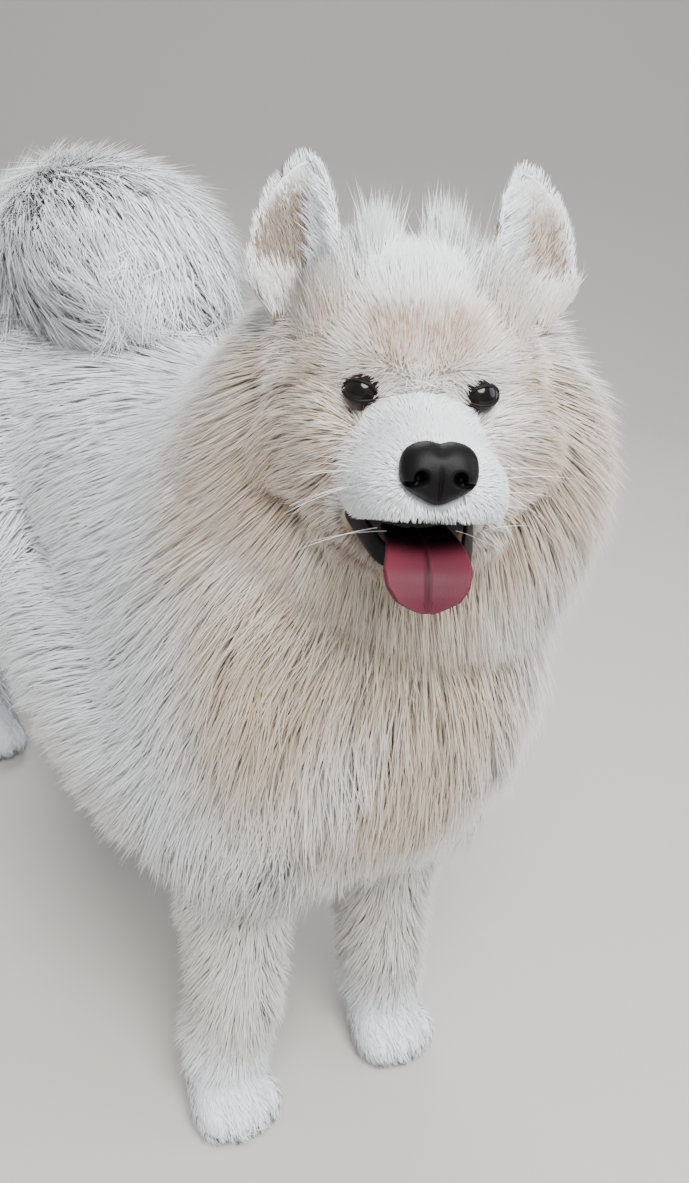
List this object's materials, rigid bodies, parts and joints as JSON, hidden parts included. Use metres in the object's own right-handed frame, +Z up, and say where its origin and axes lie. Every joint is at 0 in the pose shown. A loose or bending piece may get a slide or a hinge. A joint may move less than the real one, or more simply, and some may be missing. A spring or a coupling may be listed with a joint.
{
  "type": "samoyed dog",
  "caption": "Life-size standing Samoyed dog with its head turned to its right, mouth open and tongue out, thick ruff and a plumed tail curled over its back.",
  "frame": {"origin": "below the middle of the bounding box, on the level of the soles", "axes": "+Z up, the dog faces -Y and its left side is +X"},
  "size_m": [0.3476, 0.8472, 0.75],
  "materials": {
    "body_fur": "long white double coat in soft straight locks, cream in the recesses",
    "ruff_fur": "long ruff of soft locks, white at the tips and cream to beige at the roots",
    "leg_fur": "short dense white fur, faintly yellow over the toes",
    "face_fur": "short dense white fur, tan between and above the eyes",
    "jaw_fur": "short cream fur with near-black lips",
    "ear_fur": "short fur over a pinkish brown inner ear",
    "nose_leather": "moist near-black nose leather with a fine pebbled surface",
    "eye": "wet dark brown eye with a black pupil",
    "tongue": "moist rose-pink flesh with a central groove and fine papillae"
  },
  "bodies": {
    "root": {"eye_right": "eye", "eye_left": "eye", "nose": "nose_leather", "head": "face_fur", "ear_right": "ear_fur", "ear_left": "ear_fur", "tongue": "tongue", "jaw": "jaw_fur", "forepaw_right": "leg_fur", "hindpaw_right": "leg_fur", "forepaw_left": "leg_fur", "hindpaw_left": "leg_fur", "foreleg_right": "leg_fur", "foreleg_left": "leg_fur", "hock_right": "leg_fur", "hock_left": "leg_fur", "neck": "ruff_fur", "tail_root": "body_fur", "torso": "body_fur", "thigh_right": "body_fur", "thigh_left": "body_fur", "tail_plume": "body_fur"}
  },
  "joints": []
}
